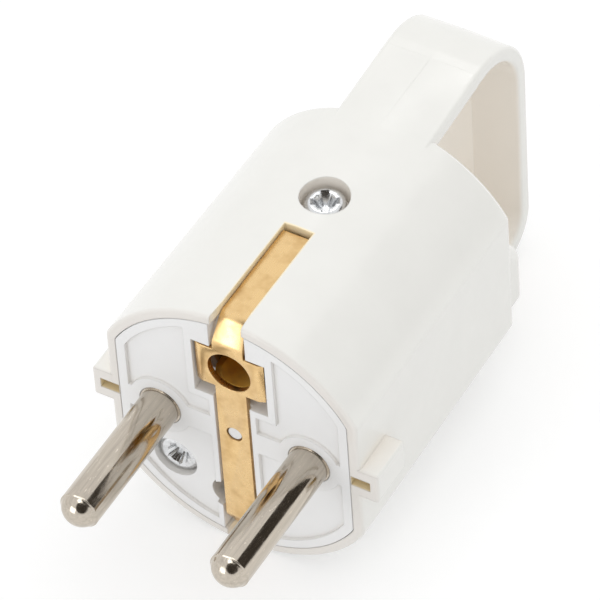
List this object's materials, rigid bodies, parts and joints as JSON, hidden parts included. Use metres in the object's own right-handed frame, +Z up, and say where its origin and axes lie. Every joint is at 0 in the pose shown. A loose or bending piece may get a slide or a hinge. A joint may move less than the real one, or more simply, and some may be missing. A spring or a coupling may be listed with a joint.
{
  "type": "electrical plug",
  "caption": "Earthed round-pin mains plug: a drafted white moulded body with a folded brass earth strip, an earth socket and a pull loop behind, for gripping it out of the wall.",
  "frame": {"origin": "midway between the two pins, on the engagement face of the contact carrier", "axes": "+Y runs back from the engagement face, opposite to the way the pins point; +Z is up, towards the earth socket; +X is right as seen from the front"},
  "size_m": [0.0364, 0.076, 0.036],
  "materials": {
    "shell_plastic": "warm white moulded plastic with a soft gloss",
    "insert_plastic": "cooler white moulded plastic",
    "pin_plating": "warm nickel plating over turned brass",
    "earth_brass": "bright rolled brass, slightly mottled",
    "screw_steel": "bright zinc plating"
  },
  "bodies": {
    "root": {"housing": "shell_plastic", "contact_carrier": "insert_plastic", "carrier_back": "insert_plastic", "line_pin": "pin_plating", "neutral_pin": "pin_plating", "earth_strip": "earth_brass", "earth_socket": "earth_brass", "earth_washer": "screw_steel", "cord_clamp_bar": "screw_steel", "housing_screw": "screw_steel", "housing_nut": "screw_steel", "earth_terminal_screw": "screw_steel", "carrier_screw_left": "screw_steel", "carrier_screw_right": "screw_steel", "carrier_nut_left": "screw_steel", "carrier_nut_right": "screw_steel", "cord_clamp_screw_left": "screw_steel", "cord_clamp_screw_right": "screw_steel", "line_terminal_screw": "screw_steel", "neutral_terminal_screw": "screw_steel"}
  },
  "joints": []
}
